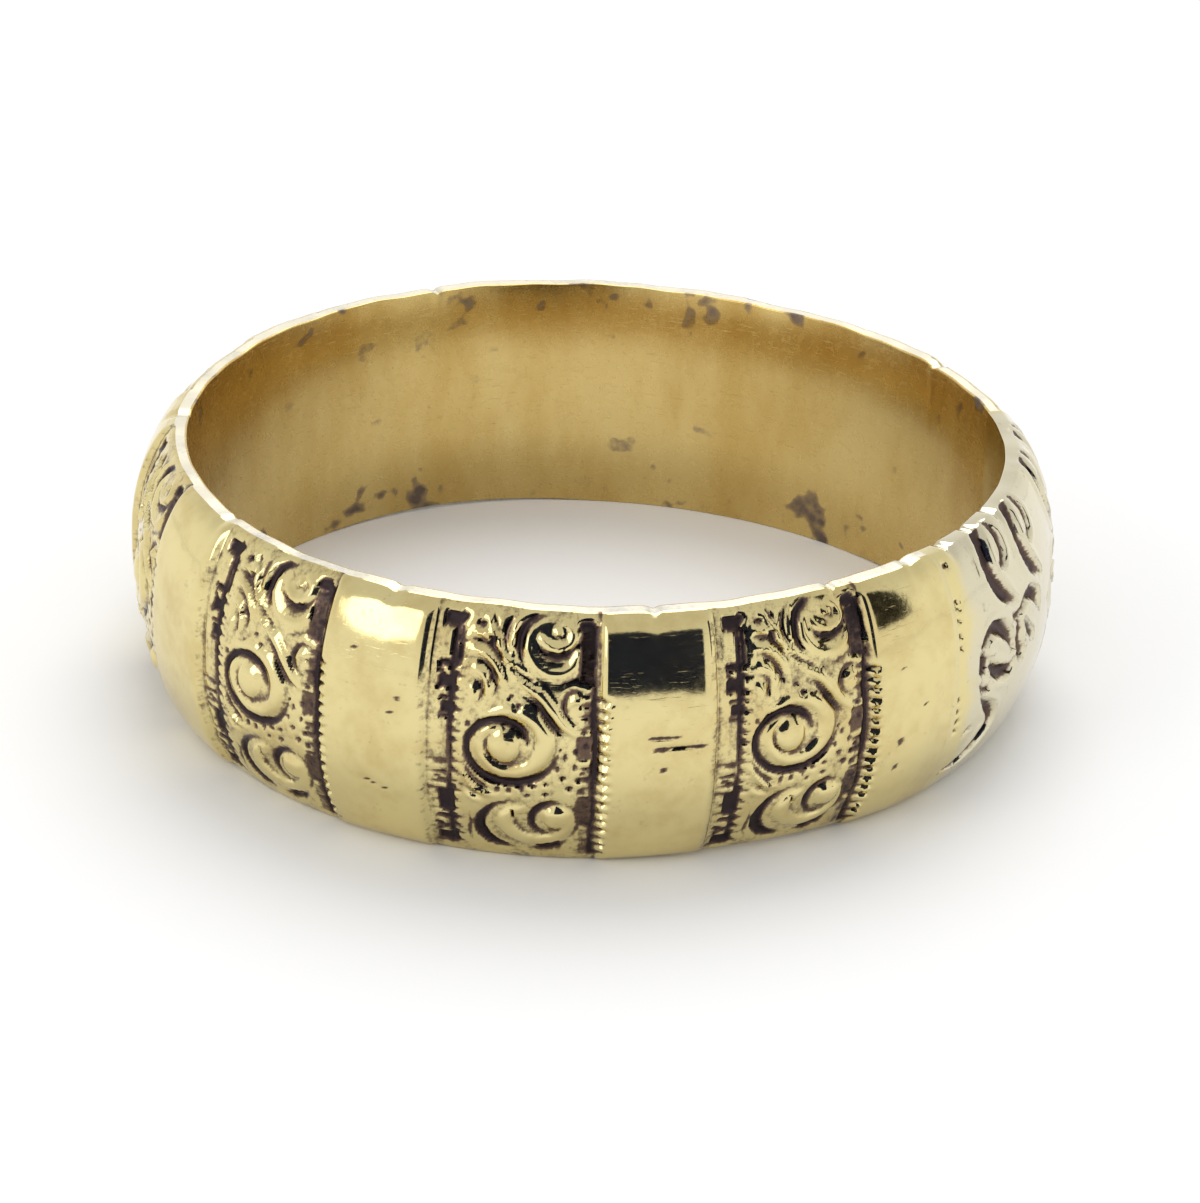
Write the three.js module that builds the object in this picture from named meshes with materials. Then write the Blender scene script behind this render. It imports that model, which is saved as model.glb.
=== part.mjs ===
// A half-round wedding band with struck scroll panels between plain polished ones.
//
// Most of the band is one length of double-clad strip: a base metal core with a gold
// skin rolled on each side. The strip was struck with the pattern and bent round, so
// the core shows along both rims. The band was later made larger: a solid insert of
// paler metal closes it, with a thin line of solder at each end.
//
// Millimetres. The finger passes along Z and the band rests on its lower rim at
// z = 0. Angles are in degrees about Z, from -Y towards +X.

import * as THREE from 'three';

// Band
const fingerRadius = 9.1;
const bandWidth = 5.8;
const rimWall = 0.4;
const crownRise = 0.8;
const domeExponent = 2.4;

// A hand-bent ring is never quite round
const ovalDepth = 0.045;
const threeLobeDepth = 0.08;

// Clad layers
const outerSkinThickness = 0.08;
const innerSkinThickness = 0.05;

// Sizing insert and its two solder joints; the insert starts at the first joint
const firstJointBearing = 50;
const jointAngle = 0.8;
const shortestInsertAngle = 30;
const insertRise = 0.06;

// Struck pattern, as angles along the band
const leftBorderAngle = 3.5;
const scrollFieldAngle = 15.5;
const rightBorderAngle = 2;
const plainPanelAngle = 13.2;
const shoulderAngle = 1.3;

// Struck pattern, as heights against the plain dome
const pillowRise = 0.1;
const fieldDepth = 0.05;
const borderDepth = 0.16;
const pillowEdgeExponent = 8;

// The three scroll eyes of a panel: angle from the field's start, height up the
// band as a share of its width, radius and rise of the boss
const scrollEyes = [
  { name: 'upper', along: 12.5, up: 0.89, radius: 0.65, rise: 0.16 },
  { name: 'middle', along: 6, up: 0.5, radius: 0.95, rise: 0.16 },
  { name: 'lower', along: 12.2, up: 0.22, radius: 0.85, rise: 0.16 },
];

// Mesh density
const fieldColumns = 9;
const insertColumnAngle = 3;
const rowShares = [-1, -0.93, -0.78, -0.55, -0.28, 0, 0.28, 0.55, 0.78, 0.93, 1];

const radians = THREE.MathUtils.degToRad;
const crownRadius = fingerRadius + rimWall + crownRise;

// Departure of the band from a true circle at one bearing
function outOfRound(bearing) {
  const oval = ovalDepth * Math.cos(2 * radians(bearing));
  const lobes = threeLobeDepth * Math.sin(3 * radians(bearing));
  return -oval - lobes;
}

// Outside of the plain dome; share runs from -1 at the lower rim to 1 at the upper
function domeRadius(share) {
  return fingerRadius + rimWall + crownRise * (1 - Math.abs(share) ** domeExponent);
}

// Relief dies away at both rims, so that the rims stay clean circles
function rimFade(share) {
  return 1 - Math.abs(share) ** pillowEdgeExponent;
}

function scrollEyeRise(along, share) {
  let rise = 0;
  for (const eye of scrollEyes) {
    const across = radians(along - eye.along) * crownRadius;
    const up = (share / 2 + 0.5 - eye.up) * bandWidth;
    const reach = Math.hypot(across, up) / eye.radius;
    rise = Math.max(rise, eye.rise * (1 - reach * reach));
  }
  return rise;
}

// One repeat is a scroll panel followed by a plain one. A column is a cut across
// the band: its angle from the start of the repeat and its relief up the band. The
// plain panel rounds off before the next repeat, but runs level into a joint.
function repeatColumns(runsIntoJoint) {
  const columns = [];
  const level = (height) => () => height;
  columns.push({ along: 0, relief: level(0) });
  columns.push({ along: leftBorderAngle * 0.25, relief: level(-borderDepth) });
  columns.push({ along: leftBorderAngle * 0.75, relief: level(-borderDepth) });
  for (let i = 0; i <= fieldColumns; i += 1) {
    const along = scrollFieldAngle * i / fieldColumns;
    const relief = (share) => -fieldDepth + scrollEyeRise(along, share);
    columns.push({ along: leftBorderAngle + along, relief });
  }
  const fieldEnd = leftBorderAngle + scrollFieldAngle;
  const plainStart = fieldEnd + rightBorderAngle;
  const plainEnd = plainStart + plainPanelAngle;
  columns.push({ along: fieldEnd + rightBorderAngle / 2, relief: level(-borderDepth) });
  columns.push({ along: plainStart, relief: level(0) });
  columns.push({ along: plainStart + shoulderAngle * 0.35, relief: level(pillowRise * 0.65) });
  columns.push({ along: plainStart + shoulderAngle, relief: level(pillowRise) });
  columns.push({ along: plainStart + plainPanelAngle * 0.35, relief: level(pillowRise) });
  columns.push({ along: plainStart + plainPanelAngle * 0.65, relief: level(pillowRise) });
  columns.push({ along: plainEnd - shoulderAngle, relief: level(pillowRise) });
  if (runsIntoJoint) {
    columns.push({ along: plainEnd, relief: level(insertRise) });
  } else {
    columns.push({ along: plainEnd - shoulderAngle * 0.35, relief: level(pillowRise * 0.65) });
  }
  return columns;
}

// The strip holds as many whole repeats as leave room for the insert. It ends at the
// first joint, and the insert takes up the rest.
const repeatAngle = leftBorderAngle + scrollFieldAngle + rightBorderAngle + plainPanelAngle;
const closedAngle = 360 - 2 * jointAngle;
const repeats = Math.floor((closedAngle - shortestInsertAngle) / repeatAngle);
const insertAngle = closedAngle - repeats * repeatAngle;
const insertStart = firstJointBearing + jointAngle / 2;
const insertEnd = insertStart + insertAngle;
const stripStart = insertEnd + jointAngle;

function stripColumns() {
  const columns = [];
  for (let repeat = 0; repeat < repeats; repeat += 1) {
    const start = stripStart + repeat * repeatAngle;
    for (const column of repeatColumns(repeat === repeats - 1)) {
      columns.push({ bearing: start + column.along, relief: column.relief });
    }
  }
  return columns;
}

// The insert is filed level with the plain panel at its first end and with the
// edge of the scroll panel at its other end
function insertColumns() {
  const columns = [];
  const steps = Math.ceil(insertAngle / insertColumnAngle);
  for (let i = 0; i <= steps; i += 1) {
    const height = i === steps ? 0 : insertRise;
    columns.push({ bearing: insertStart + insertAngle * i / steps, relief: () => height });
  }
  return columns;
}

function jointColumns(start, height) {
  return [start, start + jointAngle].map((bearing) => ({ bearing, relief: () => height }));
}

// A point of the band before it is centred on the axis
function bandPoint(bearing, radius, share) {
  const reach = radius + outOfRound(bearing);
  const angle = radians(bearing);
  const height = bandWidth * (share + 1) / 2;
  return new THREE.Vector3(reach * Math.sin(angle), -reach * Math.cos(angle), height);
}

// The surfaces that bound the layers, each as one line of points up the band
function outerSurface(column, inset) {
  return rowShares.map((share) => {
    const radius = domeRadius(share) + column.relief(share) * rimFade(share) - inset;
    return bandPoint(column.bearing, radius, share);
  });
}

function boreSurface(column, outset) {
  const radius = fingerRadius + outset;
  return [-1, 1].map((share) => bandPoint(column.bearing, radius, share));
}

// A layer is a row of closed cross-sections, each running up its outer surface and
// down its inner one, skinned along the band and capped at both ends. Every quad is
// split from its lower near corner to its upper far corner, so that two layers that
// share a surface share its facets.
function layerGeometry(sections) {
  const count = sections[0].length;
  const positions = sections.flat().flatMap((point) => point.toArray());
  const index = [];
  for (let i = 0; i + 1 < sections.length; i += 1) {
    for (let j = 0; j < count; j += 1) {
      const next = (j + 1) % count;
      const near = i * count + j;
      const nearNext = i * count + next;
      const far = near + count;
      const farNext = nearNext + count;
      const climbs = sections[i][next].z >= sections[i][j].z;
      if (climbs) {
        index.push(near, far, farNext, near, farNext, nearNext);
      } else {
        index.push(near, far, nearNext, nearNext, far, farNext);
      }
    }
  }
  const outline = sections[0].map((point) => {
    return new THREE.Vector2(Math.hypot(point.x, point.y), point.z);
  });
  const lastSection = (sections.length - 1) * count;
  for (const [a, b, c] of THREE.ShapeUtils.triangulateShape(outline, [])) {
    index.push(a, b, c);
    index.push(lastSection + a, lastSection + c, lastSection + b);
  }
  const geometry = new THREE.BufferGeometry();
  geometry.setAttribute('position', new THREE.Float32BufferAttribute(positions, 3));
  geometry.setIndex(index);
  return geometry;
}

function layer(columns, outer, inner) {
  return layerGeometry(columns.map((column) => [...outer(column), ...inner(column).reverse()]));
}

const strip = stripColumns();
const insert = insertColumns();
const firstJoint = jointColumns(insertStart - jointAngle, insertRise);
const secondJoint = jointColumns(insertEnd, 0);

// The strip stops at the first joint, a whole turn on from where the joint begins
strip[strip.length - 1].bearing = firstJoint[0].bearing + 360;

const outside = (column) => outerSurface(column, 0);
const underOuterSkin = (column) => outerSurface(column, outerSkinThickness);
const underInnerSkin = (column) => boreSurface(column, innerSkinThickness);
const bore = (column) => boreSurface(column, 0);

const parts = [
  {
    name: 'outer_gold_skin',
    geometry: layer(strip, outside, underOuterSkin),
    material: { color: 0xcfa85a, metalness: 1, roughness: 0.28 },
  },
  {
    name: 'base_metal_core',
    geometry: layer(strip, underOuterSkin, underInnerSkin),
    material: { color: 0xcbbd92, metalness: 1, roughness: 0.4 },
  },
  {
    name: 'inner_gold_skin',
    geometry: layer(strip, underInnerSkin, bore),
    material: { color: 0xb8893c, metalness: 1, roughness: 0.45 },
  },
  {
    name: 'sizing_insert',
    geometry: layer(insert, outside, bore),
    material: { color: 0xd2c8a2, metalness: 1, roughness: 0.35 },
  },
  {
    name: 'first_solder_joint',
    geometry: layer(firstJoint, outside, bore),
    material: { color: 0xa9a595, metalness: 1, roughness: 0.5 },
  },
  {
    name: 'second_solder_joint',
    geometry: layer(secondJoint, outside, bore),
    material: { color: 0xa9a595, metalness: 1, roughness: 0.5 },
  },
];

// The lobes pull the band a little to one side, so it is centred on its outside
const extent = new THREE.Box3();
for (const part of parts) {
  part.geometry.computeBoundingBox();
  extent.union(part.geometry.boundingBox);
}
const centre = extent.getCenter(new THREE.Vector3());

const group = new THREE.Group();
group.name = 'wedding_band';
for (const part of parts) {
  part.geometry.translate(-centre.x, -centre.y, 0);
  part.geometry.computeVertexNormals();
  const mesh = new THREE.Mesh(part.geometry, new THREE.MeshStandardMaterial(part.material));
  mesh.name = part.name;
  group.add(mesh);
}

export default group;
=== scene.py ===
"""A gold-filled wedding band, made the way such a band is made.

The pattern is struck into flat strip, the strip is domed, and then it is rolled
round the finger. A paler sizing insert, cut by hand with bolder scrolls, closes it.
Flat work is in millimetres: x along the strip, y up the band, z out of it, with
z = 0 at the bore once a piece has been domed. Rolling turns it into metres.
"""

import math

import bpy
import numpy as np
from mathutils import Matrix, Vector


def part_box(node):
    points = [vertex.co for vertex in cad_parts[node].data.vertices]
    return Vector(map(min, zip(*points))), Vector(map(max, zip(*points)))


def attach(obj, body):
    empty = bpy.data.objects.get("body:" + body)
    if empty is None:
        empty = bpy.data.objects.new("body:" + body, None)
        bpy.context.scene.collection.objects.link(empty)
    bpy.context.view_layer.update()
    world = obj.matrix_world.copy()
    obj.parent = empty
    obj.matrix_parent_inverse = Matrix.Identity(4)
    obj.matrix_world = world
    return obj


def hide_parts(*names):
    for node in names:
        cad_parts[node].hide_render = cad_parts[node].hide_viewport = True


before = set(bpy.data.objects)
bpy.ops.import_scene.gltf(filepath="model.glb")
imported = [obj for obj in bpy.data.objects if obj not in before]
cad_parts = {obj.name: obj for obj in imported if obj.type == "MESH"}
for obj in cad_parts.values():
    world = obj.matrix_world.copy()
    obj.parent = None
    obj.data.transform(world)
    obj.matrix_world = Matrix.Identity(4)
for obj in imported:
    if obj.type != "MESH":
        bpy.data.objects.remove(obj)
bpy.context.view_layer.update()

MM = 0.001

# Band, in millimetres and degrees
FINGER_RADIUS = 9.1
BAND_WIDTH = 5.8
RIM_WALL = 0.4
CROWN_RISE = 0.8
DOME_EXPONENT = 2.4
OVAL_DEPTH = 0.045
THREE_LOBE_DEPTH = 0.08
INNER_SKIN = 0.05
CROWN_RADIUS = FINGER_RADIUS + RIM_WALL + CROWN_RISE
MM_PER_DEGREE = math.radians(CROWN_RADIUS)

# Pattern
SCROLL_ANGLE = 21.0
PLAIN_ANGLE = 13.2
REPEAT_ANGLE = SCROLL_ANGLE + PLAIN_ANGLE
REPEATS = 9
FIRST_JOINT = 50.0
JOINT_ANGLE = 0.8
INSERT_ANGLE = 360 - 2 * JOINT_ANGLE - REPEATS * REPEAT_ANGLE
INSERT_START = FIRST_JOINT + JOINT_ANGLE / 2
STRIP_START = INSERT_START + INSERT_ANGLE + JOINT_ANGLE
SCROLL_LENGTH = SCROLL_ANGLE * MM_PER_DEGREE
REPEAT_LENGTH = REPEAT_ANGLE * MM_PER_DEGREE
INSERT_LENGTH = INSERT_ANGLE * MM_PER_DEGREE

# Levels of the struck work against the plain dome
PILLOW_RISE = 0.1
PILLOW_BEVEL = 0.14
FIELD_LEVEL = -0.06
INSERT_RISE = 0.06

# How full the raised work is: its height as a share of half its width
RIBBON_FULLNESS = 0.6
LEAF_FULLNESS = 1.1
STEM_FULLNESS = 0.8

# Levels at which the tools are held that strike the pillows and cut the field
PILLOW_LEVEL = -0.1
TROUGH_LEVEL = -0.005
SQUARE_LEVEL = -0.03
HATCH_LEVEL = -0.08
SCROLL_CUT_LEVEL = -0.045
PIT_LEVEL = -0.03
TICK_LEVEL = -0.01
LINE_LEVEL = -0.07
HATCH_BOLDNESS = 1.5
PIT_DEPTH = 0.12

# Wear of the face: near the rims the relief is rubbed off and the edge rounded
RIM_RUB = 0.7
RIM_RUB_POWER = 14
RIM_WEAR = 0.05
RIM_WEAR_REACH = 0.14

# Tarnish stays below this depth, and goes from what stands this proud
CLEAN_DEPTH = 0.042
PROUD_HEIGHT = 0.05
SKIN_TARNISH_DEPTH = 0.1
INSERT_TARNISH_DEPTH = 0.12
SCRATCH_DEPTH = 0.02
SCRATCH_DIRT = 0.7

# Wear of the rims
RIM_WAVE = 0.08
RIM_WAVE_PHASE = 0.6
RIM_WAVE_POWER = 8
RIM_NICKS = (8.5, -24.5, 33.0, 46.0, 53.5, 60.0, 66.5, 120.0, 205.0, 268.0, 305.0)
NICK_DEPTH = 0.07
NICK_REACH = 0.011

# Mesh
ROWS = 98
STRUCK_LENGTH = 4.25
STRUCK_COLUMNS = 86
PLAIN_COLUMNS = 14
INSERT_COLUMNS = 150
SOLDER_COLUMNS = 6
HAIR = 0.001
FACES_DOWN = -0.3
SMOOTH_ANGLE = 55


# ---------------------------------------------------------------- workshop

def pick(*objects):
    bpy.ops.object.select_all(action="DESELECT")
    for one in objects:
        one.select_set(True)
    bpy.context.view_layer.objects.active = objects[0]


def join(objects, name):
    pick(*objects)
    bpy.ops.object.join()
    objects[0].name = name
    objects[0].data.name = name
    return objects[0]


def copy_of(piece, shift):
    pick(piece)
    bpy.ops.object.duplicate()
    other = bpy.context.object
    bpy.ops.transform.translate(value=shift)
    bpy.ops.object.transform_apply(location=True, rotation=False, scale=False)
    return other


def scrap(objects):
    for one in objects:
        bpy.data.objects.remove(one, do_unlink=True)


def points_of(piece):
    flat = np.empty(len(piece.data.vertices) * 3)
    piece.data.vertices.foreach_get("co", flat)
    return flat.reshape(-1, 3)


def move_points(piece, points):
    piece.data.vertices.foreach_set("co", points.ravel())
    piece.data.update()


def write_values(piece, name, values):
    layer = piece.data.attributes.get(name) or piece.data.attributes.new(name, "FLOAT", "POINT")
    layer.data.foreach_set("value", values)


def values_of(piece, name):
    values = np.empty(len(piece.data.vertices))
    piece.data.attributes[name].data.foreach_get("value", values)
    return values


def select_points(piece, chosen):
    """Selects the vertices whose flags are set, with the edges and faces between them."""
    mesh = piece.data
    mesh.vertices.foreach_set("select", chosen)
    ends = np.empty(len(mesh.edges) * 2, dtype=int)
    mesh.edges.foreach_get("vertices", ends)
    mesh.edges.foreach_set("select", chosen[ends.reshape(-1, 2)].all(axis=1))
    mesh.polygons.foreach_set(
        "select", [all(chosen[v] for v in face.vertices) for face in mesh.polygons]
    )


# ------------------------------------------------------- punches and gravers

def drawn_tool(name, strokes, height_share, lift=0.0, spread=1.0):
    """Tapering rods along drawn strokes of (x, y, width), scaled in height.

    A stroke's point may hold a fourth number, the height at which the rod lies.
    lift raises each rod by that share of its own width, so that a cutting rod
    leaves a groove with sloping sides; spread widens it to suit.
    """
    curve = bpy.data.curves.new(name, "CURVE")
    curve.dimensions = "3D"
    curve.bevel_depth = 1.0
    curve.bevel_resolution = 3
    curve.resolution_u = 6
    curve.use_fill_caps = True
    for stroke in strokes:
        spline = curve.splines.new("BEZIER")
        spline.bezier_points.add(len(stroke) - 1)
        for knot, (x, y, width, *level) in zip(spline.bezier_points, stroke):
            knot.co = (x, y, lift * width + sum(level) / height_share)
            knot.radius = spread * width / 2
            knot.handle_left_type = "AUTO"
            knot.handle_right_type = "AUTO"
    tool = bpy.data.objects.new(name, curve)
    bpy.context.collection.objects.link(tool)
    pick(tool)
    bpy.ops.object.convert(target="MESH")
    tool = bpy.context.object
    bpy.ops.transform.resize(value=(1, 1, height_share))
    bpy.ops.object.transform_apply(location=False, rotation=False, scale=True)
    return square_up(tool)


def graver(name, strokes):
    """A cutting tool: its grooves are as wide as their strokes, and half as deep."""
    return drawn_tool(name, strokes, 2.2, lift=0.375, spread=1.25)


def square_up(tool):
    pick(tool)
    bpy.ops.object.mode_set(mode="EDIT")
    bpy.ops.mesh.select_all(action="SELECT")
    bpy.ops.mesh.normals_make_consistent(inside=False)
    bpy.ops.object.mode_set(mode="OBJECT")
    return tool


def lifted(tool, height):
    pick(tool)
    bpy.ops.transform.translate(value=(0, 0, height))
    bpy.ops.object.transform_apply(location=True, rotation=False, scale=False)
    return tool


def round_punches(name, spots):
    """Round or oval punches at (x, y, half width, half height, half depth)."""
    punches = []
    for x, y, wide, high, deep in spots:
        bpy.ops.mesh.primitive_uv_sphere_add(
            segments=20, ring_count=10, radius=1, location=(x, y, 0)
        )
        punch = bpy.context.object
        punch.scale = (wide, high, deep)
        punches.append(punch)
    tool = join(punches, name)
    bpy.ops.object.transform_apply()
    return tool


def square_punches(name, boxes, bevel):
    """Square-ended punches at (x, y, width, height, depth) with softened corners."""
    punches = []
    for x, y, wide, high, deep in boxes:
        bpy.ops.mesh.primitive_cube_add(size=1, location=(x, y, 0))
        punch = bpy.context.object
        punch.scale = (wide, high, deep)
        punches.append(punch)
    tool = join(punches, name)
    bpy.ops.object.transform_apply()
    soften = tool.modifiers.new("soften", "BEVEL")
    soften.width = bevel
    soften.segments = 3
    bpy.ops.object.modifier_apply(modifier=soften.name)
    return tool


def strike(plate, tool, upward):
    """Presses the plate out over a tool, or in under it, wherever it lies inside it."""
    pick(plate)
    blow = plate.modifiers.new("blow", "SHRINKWRAP")
    blow.target = tool
    blow.wrap_method = "PROJECT"
    blow.use_project_z = True
    blow.use_positive_direction = upward
    blow.use_negative_direction = not upward
    blow.cull_face = "FRONT"
    bpy.ops.object.modifier_apply(modifier=blow.name)


def soften_heights(plate, repeats):
    pick(plate)
    ease = plate.modifiers.new("ease", "SMOOTH")
    ease.use_x = False
    ease.use_y = False
    ease.factor = 0.35
    ease.iterations = repeats
    bpy.ops.object.modifier_apply(modifier=ease.name)


def flat_plate(name, x0, length, columns, level):
    bpy.ops.mesh.primitive_grid_add(
        x_subdivisions=columns,
        y_subdivisions=ROWS,
        size=1,
        location=(x0 + length / 2, BAND_WIDTH / 2, level),
    )
    plate = bpy.context.object
    plate.name = name
    plate.scale = (length, BAND_WIDTH, 1)
    bpy.ops.object.transform_apply()
    return plate


# --------------------------------------------------------- drawing of the die

def volute(centre, start, end, inner, outer, growth, oval, widths):
    """A spiral stroke: angles in degrees, its radius growing from inner to outer."""
    stroke = []
    steps = 14
    for i in range(steps + 1):
        share = i / steps
        angle = math.radians(start + (end - start) * share)
        reach = inner + (outer - inner) * share**growth
        width = np.interp(share, (0, 0.15, 0.5, 0.85, 1), widths)
        x = centre[0] + reach * math.cos(angle)
        y = centre[1] + reach * math.sin(angle) * oval
        stroke.append((x, y, float(width)))
    return stroke


def shifted(strokes, along):
    return [[(x + along, y, width) for x, y, width in stroke] for stroke in strokes]


def bolder(strokes, times):
    return [[(x, y, times * width) for x, y, width in stroke] for stroke in strokes]


MIDDLE_EYE = (1.73, 2.98)
# The volutes' eyes: centre, half width, half height, depth of the punch
EYES = [
    (*MIDDLE_EYE, 0.35, 0.38, 0.13),
    (2.85, 1.27, 0.29, 0.28, 0.13),
    (2.78, 5.38, 0.12, 0.12, 0.1),
]

RIBBONS = [
    # middle volute, from the stem in to its eye
    [(1.30, 3.62, 0.12), (1.78, 3.78, 0.2), (2.28, 3.66, 0.32), (2.57, 3.32, 0.42),
     (2.58, 2.94, 0.42), (2.40, 2.62, 0.34), (2.08, 2.43, 0.3), (1.72, 2.41, 0.28),
     (1.40, 2.60, 0.24), (1.22, 2.92, 0.22), (1.27, 3.22, 0.2), (1.50, 3.42, 0.16)],
    # lower volute
    [(2.20, 1.52, 0.1), (1.95, 1.40, 0.26), (1.75, 1.12, 0.4), (1.92, 0.83, 0.38),
     (2.22, 0.66, 0.32), (2.60, 0.65, 0.26), (2.92, 0.80, 0.24), (3.12, 1.08, 0.2),
     (3.10, 1.38, 0.16), (2.92, 1.52, 0.1)],
    # upper volute
    [(2.16, 5.58, 0.1), (2.11, 5.22, 0.18), (2.26, 4.86, 0.2), (2.53, 4.65, 0.2),
     (2.84, 4.61, 0.2), (3.12, 4.77, 0.18), (3.28, 5.08, 0.1)],
]
STEMS = [
    [(1.22, 5.61, 0.16), (1.51, 5.17, 0.22), (1.80, 4.76, 0.24), (2.12, 4.44, 0.26),
     (2.45, 4.18, 0.26), (2.75, 3.84, 0.26), (3.02, 3.48, 0.2), (3.30, 3.24, 0.08)],
    [(2.38, 5.32, 0.1), (2.60, 5.14, 0.18), (2.88, 5.12, 0.22), (3.10, 5.28, 0.22),
     (3.05, 5.50, 0.18), (2.85, 5.58, 0.12)],
]
LEAF_RIDGES = [
    [(0.90, 5.28, 0.1), (1.20, 5.28, 0.16), (1.46, 5.12, 0.16), (1.62, 4.92, 0.08)],
    [(0.92, 4.95, 0.1), (1.28, 4.90, 0.18), (1.56, 4.64, 0.18), (1.66, 4.34, 0.08)],
    [(1.00, 4.60, 0.1), (1.24, 4.50, 0.16), (1.37, 4.25, 0.16), (1.30, 3.98, 0.08)],
    [(0.98, 4.20, 0.1), (1.08, 4.10, 0.14), (1.02, 3.90, 0.1)],
    [(0.84, 2.34, 0.08), (1.06, 2.02, 0.18), (1.34, 1.84, 0.18), (1.58, 1.72, 0.06)],
    [(0.90, 1.78, 0.08), (1.10, 1.64, 0.14), (1.30, 1.54, 0.06)],
    [(1.85, 5.66, 0.1), (1.84, 5.42, 0.14), (1.80, 5.18, 0.14), (1.86, 4.96, 0.08)],
    [(3.06, 3.95, 0.1), (3.22, 4.08, 0.16), (3.36, 3.98, 0.14), (3.28, 3.82, 0.06)],
]
SCROLL_CUTS = [
    volute(MIDDLE_EYE, 6, 352, 0.53, 1.16, 1.3, 0.88, (0.12, 0.24, 0.2, 0.24, 0.1)),
    [(1.32, 3.12, 0.05), (1.40, 2.80, 0.09), (1.62, 2.60, 0.08), (1.86, 2.56, 0.03)],
    # above and below the stem
    [(2.05, 4.20, 0.05), (2.38, 4.00, 0.15), (2.62, 3.68, 0.18), (2.86, 3.40, 0.16),
     (3.14, 3.26, 0.06)],
    [(1.60, 4.78, 0.05), (1.93, 4.62, 0.13), (2.22, 4.44, 0.13), (2.46, 4.30, 0.05)],
    # upper volute
    [(2.50, 5.70, 0.1), (2.23, 5.62, 0.22), (2.04, 5.44, 0.26), (1.96, 5.15, 0.24),
     (2.02, 4.85, 0.16), (2.14, 4.66, 0.05)],
    [(2.32, 5.20, 0.06), (2.44, 5.03, 0.17), (2.70, 4.93, 0.2), (2.98, 4.97, 0.2),
     (3.18, 5.15, 0.13), (3.25, 5.32, 0.05)],
    [(2.62, 4.34, 0.05), (2.91, 4.40, 0.11), (3.20, 4.52, 0.11), (3.42, 4.70, 0.05)],
    [(2.64, 5.42, 0.05), (2.76, 5.31, 0.09), (2.90, 5.36, 0.04)],
    [(1.88, 5.70, 0.06), (1.71, 5.50, 0.13), (1.64, 5.25, 0.13), (1.71, 4.98, 0.09),
     (1.80, 4.86, 0.04)],
    # lower volute
    [(3.02, 1.66, 0.08), (2.73, 1.66, 0.19), (2.47, 1.52, 0.22), (2.33, 1.27, 0.22),
     (2.37, 1.02, 0.18), (2.56, 0.86, 0.13), (2.78, 0.82, 0.05)],
    [(3.06, 1.66, 0.08), (3.25, 1.48, 0.13), (3.32, 1.22, 0.13), (3.26, 0.94, 0.13),
     (3.08, 0.70, 0.06)],
    [(2.06, 1.66, 0.05), (1.70, 1.60, 0.13), (1.38, 1.38, 0.2), (1.20, 1.06, 0.3),
     (1.22, 0.74, 0.36), (1.42, 0.50, 0.32), (1.68, 0.40, 0.2), (1.98, 0.36, 0.06)],
    [(2.18, 0.34, 0.06), (2.52, 0.38, 0.22), (2.88, 0.48, 0.22), (3.10, 0.66, 0.08)],
    # leaf veins
    [(0.86, 5.12, 0.06), (1.15, 5.13, 0.15), (1.42, 4.99, 0.17), (1.62, 4.75, 0.12),
     (1.72, 4.58, 0.05)],
    [(0.96, 4.80, 0.06), (1.22, 4.74, 0.15), (1.44, 4.52, 0.17), (1.53, 4.24, 0.14),
     (1.47, 4.04, 0.05)],
    [(1.00, 4.42, 0.06), (1.20, 4.30, 0.15), (1.22, 4.04, 0.15), (1.10, 3.84, 0.06)],
    [(1.30, 5.68, 0.08), (1.40, 5.50, 0.16), (1.50, 5.32, 0.06)],
    [(1.70, 3.98, 0.05), (1.50, 3.84, 0.11), (1.22, 3.74, 0.05)],
    [(0.84, 2.62, 0.05), (1.00, 2.26, 0.15), (1.28, 1.99, 0.17), (1.56, 1.82, 0.05)],
    [(0.88, 2.06, 0.05), (1.12, 1.80, 0.13), (1.42, 1.66, 0.05)],
    [(0.98, 1.28, 0.05), (1.00, 1.00, 0.15), (0.94, 0.66, 0.15), (1.00, 0.42, 0.06)],
    # curled bud beside the stem
    [(3.42, 4.26, 0.05), (3.16, 4.26, 0.14), (2.97, 4.03, 0.17), (3.04, 3.72, 0.14),
     (3.30, 3.58, 0.07)],
]
# Punched dots in the field: x, y, half width, half height
GROUND_PITS = [
    (3.02, 2.80, 0.05, 0.07), (3.24, 2.94, 0.06, 0.08), (3.22, 2.58, 0.05, 0.09),
    (2.98, 2.30, 0.08, 0.06), (3.30, 2.26, 0.09, 0.06), (3.12, 2.06, 0.08, 0.07),
    (3.36, 1.98, 0.08, 0.06), (2.92, 2.96, 0.04, 0.06), (1.60, 1.94, 0.07, 0.07),
    (1.84, 1.92, 0.08, 0.05), (2.12, 1.99, 0.07, 0.05), (2.36, 2.06, 0.08, 0.05),
    (2.62, 2.14, 0.06, 0.05), (2.24, 1.84, 0.06, 0.05), (2.62, 1.88, 0.07, 0.05),
    (1.40, 4.42, 0.05, 0.09), (2.02, 3.88, 0.07, 0.06), (1.38, 5.16, 0.1, 0.11),
    (1.12, 5.44, 0.12, 0.07), (1.93, 1.34, 0.05, 0.1), (3.44, 3.10, 0.06, 0.06),
    (3.40, 3.38, 0.07, 0.05), (3.38, 2.42, 0.05, 0.06), (1.12, 0.9, 0.05, 0.1),
    (1.86, 4.08, 0.06, 0.05), (3.38, 5.5, 0.08, 0.06), (3.42, 5.0, 0.07, 0.07),
    (1.20, 3.50, 0.06, 0.05), (0.96, 3.40, 0.06, 0.05), (2.86, 2.52, 0.06, 0.05),
]

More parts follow.
